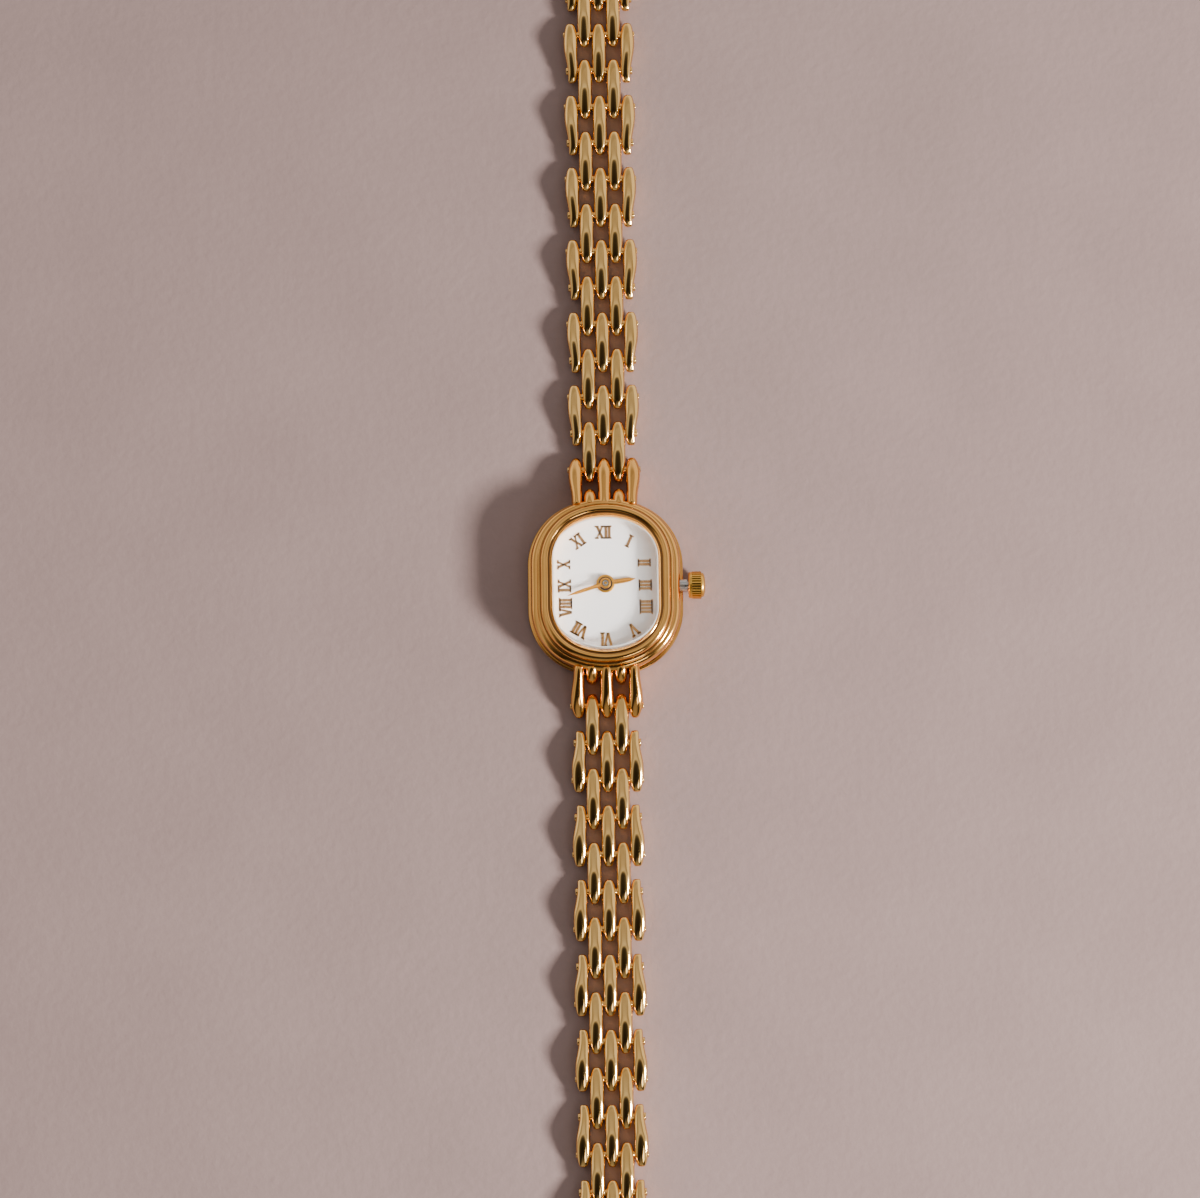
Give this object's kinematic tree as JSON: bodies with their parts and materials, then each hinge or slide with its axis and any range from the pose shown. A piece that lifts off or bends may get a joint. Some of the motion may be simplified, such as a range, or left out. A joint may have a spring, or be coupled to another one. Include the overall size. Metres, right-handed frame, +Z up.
{
  "type": "ladies' bracelet watch",
  "caption": "Oval gold-tone ladies' quartz watch laid out flat: stepped oval case, white dial with Roman numerals, crown pulled out to set, rice-link bracelet with hook clasp.",
  "frame": {"origin": "centre of the face that the case back rests on", "axes": "+Z up from the table through the dial, +Y along the bracelet to twelve o'clock, +X to three o'clock and the crown"},
  "size_m": [0.022, 0.1796, 0.0062],
  "materials": {
    "bracelet_gold": "polished gold plate",
    "case_gold": "polished gold plate, slightly rosier",
    "gilt": "gilt brass",
    "crystal": "clear mineral glass",
    "white_gasket": "white nylon",
    "black_gasket": "black rubber",
    "dial_white": "glossy white lacquer",
    "steel": "brushed steel",
    "copper": "enamelled copper wire",
    "board": "green circuit board"
  },
  "bodies": {
    "head": {"case_middle": "case_gold", "bezel": "case_gold", "lug_pins": "bracelet_gold", "crystal": "crystal", "crystal_gasket": "white_gasket", "dial": "dial_white", "hour_numerals": "gilt", "case_tube": "steel", "case_back": "steel", "case_back_gasket": "black_gasket", "main_plate": "gilt", "train_bridge": "gilt", "movement_screws": "steel", "battery": "steel", "circuit_board": "board", "coil": "copper", "stator": "steel"},
    "hour_work": {"hour_wheel": "gilt", "hour_hand": "gilt"},
    "minute_work": {"cannon_pinion": "steel", "minute_hand": "gilt"},
    "minute_wheel": {"minute_wheel": "gilt"},
    "setting_wheel": {"setting_wheel": "steel"},
    "sliding_pinion": {"sliding_pinion": "steel"},
    "crown": {"crown": "bracelet_gold", "stem": "steel"},
    "centre_wheel": {"centre_wheel": "gilt"},
    "third_wheel": {"third_wheel": "gilt"},
    "rotor": {"rotor": "steel"},
    "clasp_base": {"clasp_base": "bracelet_gold"},
    "clasp_cover": {"clasp_cover": "bracelet_gold"},
    "end_hook": {"end_hook": "bracelet_gold"},
    "upper_row_01": {"upper_row_01": "bracelet_gold"},
    "upper_row_02": {"upper_row_02": "bracelet_gold"},
    "upper_row_03": {"upper_row_03": "bracelet_gold"},
    "upper_row_04": {"upper_row_04": "bracelet_gold"},
    "upper_row_05": {"upper_row_05": "bracelet_gold"},
    "upper_row_06": {"upper_row_06": "bracelet_gold"},
    "upper_row_07": {"upper_row_07": "bracelet_gold"},
    "upper_row_08": {"upper_row_08": "bracelet_gold"},
    "upper_row_09": {"upper_row_09": "bracelet_gold"},
    "upper_row_10": {"upper_row_10": "bracelet_gold"},
    "upper_row_11": {"upper_row_11": "bracelet_gold"},
    "upper_row_12": {"upper_row_12": "bracelet_gold"},
    "upper_row_13": {"upper_row_13": "bracelet_gold"},
    "upper_row_14": {"upper_row_14": "bracelet_gold"},
    "lower_row_01": {"lower_row_01": "bracelet_gold"},
    "lower_row_02": {"lower_row_02": "bracelet_gold"},
    "lower_row_03": {"lower_row_03": "bracelet_gold"},
    "lower_row_04": {"lower_row_04": "bracelet_gold"},
    "lower_row_05": {"lower_row_05": "bracelet_gold"},
    "lower_row_06": {"lower_row_06": "bracelet_gold"},
    "lower_row_07": {"lower_row_07": "bracelet_gold"},
    "lower_row_08": {"lower_row_08": "bracelet_gold"},
    "lower_row_09": {"lower_row_09": "bracelet_gold"},
    "lower_row_10": {"lower_row_10": "bracelet_gold"},
    "lower_row_11": {"lower_row_11": "bracelet_gold"},
    "lower_row_12": {"lower_row_12": "bracelet_gold"},
    "lower_row_13": {"lower_row_13": "bracelet_gold"},
    "lower_row_14": {"lower_row_14": "bracelet_gold"}
  },
  "joints": [
    {"name": "upper_row_01_hinge", "type": "hinge", "parent": "head", "child": "upper_row_01", "pos_m": [0, 0.0148, 0.001], "axis": [-1, 0, 0], "range_deg": [-12, 18]},
    {"name": "upper_row_02_hinge", "type": "hinge", "parent": "upper_row_01", "child": "upper_row_02", "pos_m": [0, 0.01942, 0.001], "axis": [-1, 0, 0], "range_deg": [-12, 18]},
    {"name": "upper_row_03_hinge", "type": "hinge", "parent": "upper_row_02", "child": "upper_row_03", "pos_m": [0, 0.02404, 0.001], "axis": [-1, 0, 0], "range_deg": [-12, 18]},
    {"name": "upper_row_04_hinge", "type": "hinge", "parent": "upper_row_03", "child": "upper_row_04", "pos_m": [0, 0.02866, 0.001], "axis": [-1, 0, 0], "range_deg": [-12, 18]},
    {"name": "upper_row_05_hinge", "type": "hinge", "parent": "upper_row_04", "child": "upper_row_05", "pos_m": [0, 0.03328, 0.001], "axis": [-1, 0, 0], "range_deg": [-12, 18]},
    {"name": "upper_row_06_hinge", "type": "hinge", "parent": "upper_row_05", "child": "upper_row_06", "pos_m": [0, 0.0379, 0.001], "axis": [-1, 0, 0], "range_deg": [-12, 18]},
    {"name": "upper_row_07_hinge", "type": "hinge", "parent": "upper_row_06", "child": "upper_row_07", "pos_m": [0, 0.04252, 0.001], "axis": [-1, 0, 0], "range_deg": [-12, 18]},
    {"name": "upper_row_08_hinge", "type": "hinge", "parent": "upper_row_07", "child": "upper_row_08", "pos_m": [0, 0.04714, 0.001], "axis": [-1, 0, 0], "range_deg": [-12, 18]},
    {"name": "upper_row_09_hinge", "type": "hinge", "parent": "upper_row_08", "child": "upper_row_09", "pos_m": [0, 0.05176, 0.001], "axis": [-1, 0, 0], "range_deg": [-12, 18]},
    {"name": "upper_row_10_hinge", "type": "hinge", "parent": "upper_row_09", "child": "upper_row_10", "pos_m": [0, 0.05638, 0.001], "axis": [-1, 0, 0], "range_deg": [-12, 18]},
    {"name": "upper_row_11_hinge", "type": "hinge", "parent": "upper_row_10", "child": "upper_row_11", "pos_m": [0, 0.061, 0.001], "axis": [-1, 0, 0], "range_deg": [-12, 18]},
    {"name": "upper_row_12_hinge", "type": "hinge", "parent": "upper_row_11", "child": "upper_row_12", "pos_m": [0, 0.06562, 0.001], "axis": [-1, 0, 0], "range_deg": [-12, 18]},
    {"name": "upper_row_13_hinge", "type": "hinge", "parent": "upper_row_12", "child": "upper_row_13", "pos_m": [0, 0.07024, 0.001], "axis": [-1, 0, 0], "range_deg": [-12, 18]},
    {"name": "upper_row_14_hinge", "type": "hinge", "parent": "upper_row_13", "child": "upper_row_14", "pos_m": [0, 0.07486, 0.001], "axis": [-1, 0, 0], "range_deg": [-12, 18]},
    {"name": "clasp_base_hinge", "type": "hinge", "parent": "upper_row_14", "child": "clasp_base", "pos_m": [0, 0.07948, 0.001], "axis": [-1, 0, 0], "range_deg": [-12, 18]},
    {"name": "lower_row_01_hinge", "type": "hinge", "parent": "head", "child": "lower_row_01", "pos_m": [0, -0.0148, 0.001], "axis": [-1, 0, 0], "range_deg": [-18, 12]},
    {"name": "lower_row_02_hinge", "type": "hinge", "parent": "lower_row_01", "child": "lower_row_02", "pos_m": [0, -0.01942, 0.001], "axis": [-1, 0, 0], "range_deg": [-18, 12]},
    {"name": "lower_row_03_hinge", "type": "hinge", "parent": "lower_row_02", "child": "lower_row_03", "pos_m": [0, -0.02404, 0.001], "axis": [-1, 0, 0], "range_deg": [-18, 12]},
    {"name": "lower_row_04_hinge", "type": "hinge", "parent": "lower_row_03", "child": "lower_row_04", "pos_m": [0, -0.02866, 0.001], "axis": [-1, 0, 0], "range_deg": [-18, 12]},
    {"name": "lower_row_05_hinge", "type": "hinge", "parent": "lower_row_04", "child": "lower_row_05", "pos_m": [0, -0.03328, 0.001], "axis": [-1, 0, 0], "range_deg": [-18, 12]},
    {"name": "lower_row_06_hinge", "type": "hinge", "parent": "lower_row_05", "child": "lower_row_06", "pos_m": [0, -0.0379, 0.001], "axis": [-1, 0, 0], "range_deg": [-18, 12]},
    {"name": "lower_row_07_hinge", "type": "hinge", "parent": "lower_row_06", "child": "lower_row_07", "pos_m": [0, -0.04252, 0.001], "axis": [-1, 0, 0], "range_deg": [-18, 12]},
    {"name": "lower_row_08_hinge", "type": "hinge", "parent": "lower_row_07", "child": "lower_row_08", "pos_m": [0, -0.04714, 0.001], "axis": [-1, 0, 0], "range_deg": [-18, 12]},
    {"name": "lower_row_09_hinge", "type": "hinge", "parent": "lower_row_08", "child": "lower_row_09", "pos_m": [0, -0.05176, 0.001], "axis": [-1, 0, 0], "range_deg": [-18, 12]},
    {"name": "lower_row_10_hinge", "type": "hinge", "parent": "lower_row_09", "child": "lower_row_10", "pos_m": [0, -0.05638, 0.001], "axis": [-1, 0, 0], "range_deg": [-18, 12]},
    {"name": "lower_row_11_hinge", "type": "hinge", "parent": "lower_row_10", "child": "lower_row_11", "pos_m": [0, -0.061, 0.001], "axis": [-1, 0, 0], "range_deg": [-18, 12]},
    {"name": "lower_row_12_hinge", "type": "hinge", "parent": "lower_row_11", "child": "lower_row_12", "pos_m": [0, -0.06562, 0.001], "axis": [-1, 0, 0], "range_deg": [-18, 12]},
    {"name": "lower_row_13_hinge", "type": "hinge", "parent": "lower_row_12", "child": "lower_row_13", "pos_m": [0, -0.07024, 0.001], "axis": [-1, 0, 0], "range_deg": [-18, 12]},
    {"name": "lower_row_14_hinge", "type": "hinge", "parent": "lower_row_13", "child": "lower_row_14", "pos_m": [0, -0.07486, 0.001], "axis": [-1, 0, 0], "range_deg": [-18, 12]},
    {"name": "end_hook_hinge", "type": "hinge", "parent": "lower_row_14", "child": "end_hook", "pos_m": [0, -0.07948, 0.001], "axis": [-1, 0, 0], "range_deg": [-18, 12]},
    {"name": "clasp_cover_hinge", "type": "hinge", "parent": "clasp_base", "child": "clasp_cover", "pos_m": [0, 0.09132, 0.0012], "axis": [-1, 0, 0], "range_deg": [0, 90]},
    {"name": "crown_turn", "type": "hinge", "parent": "head", "child": "sliding_pinion", "pos_m": [0.0038, 0, 0.00205], "axis": [1, 0, 0], "continuous": true},
    {"name": "crown_pull", "type": "slide", "parent": "sliding_pinion", "child": "crown", "axis": [1, 0, 0], "range_m": [-0.00062, 0]},
    {"name": "setting_wheel_turn", "type": "hinge", "parent": "head", "child": "setting_wheel", "pos_m": [0.0021, 0, 0.0029], "axis": [0, 0, 1], "continuous": true},
    {"name": "minute_wheel_turn", "type": "hinge", "parent": "head", "child": "minute_wheel", "pos_m": [0.00043, -0.00212, 0.003], "axis": [0, 0, 1], "continuous": true},
    {"name": "minute_hand_turn", "type": "hinge", "parent": "head", "child": "minute_work", "pos_m": [0, 0, 0.004], "axis": [0, 0, 1], "continuous": true},
    {"name": "hour_hand_turn", "type": "hinge", "parent": "head", "child": "hour_work", "pos_m": [0, 0, 0.0039], "axis": [0, 0, 1], "continuous": true},
    {"name": "rotor_turn", "type": "hinge", "parent": "head", "child": "rotor", "pos_m": [-0.00192, -0.00286, 0.0016], "axis": [0, 0, 1], "continuous": true},
    {"name": "third_wheel_turn", "type": "hinge", "parent": "head", "child": "third_wheel", "pos_m": [0, -0.00216, 0.0018], "axis": [0, 0, 1], "continuous": true},
    {"name": "centre_wheel_turn", "type": "hinge", "parent": "head", "child": "centre_wheel", "pos_m": [0, 0, 0.0015], "axis": [0, 0, 1], "continuous": true}
  ],
  "couplings": [
    {"joint": "setting_wheel_turn", "follows": "crown_turn", "ratio": -0.5},
    {"joint": "minute_wheel_turn", "follows": "crown_turn", "ratio": 0.33333},
    {"joint": "minute_hand_turn", "follows": "crown_turn", "ratio": -1},
    {"joint": "hour_hand_turn", "follows": "crown_turn", "ratio": -0.083333},
    {"joint": "third_wheel_turn", "follows": "rotor_turn", "ratio": -0.13333},
    {"joint": "centre_wheel_turn", "follows": "rotor_turn", "ratio": 0.016667}
  ]
}
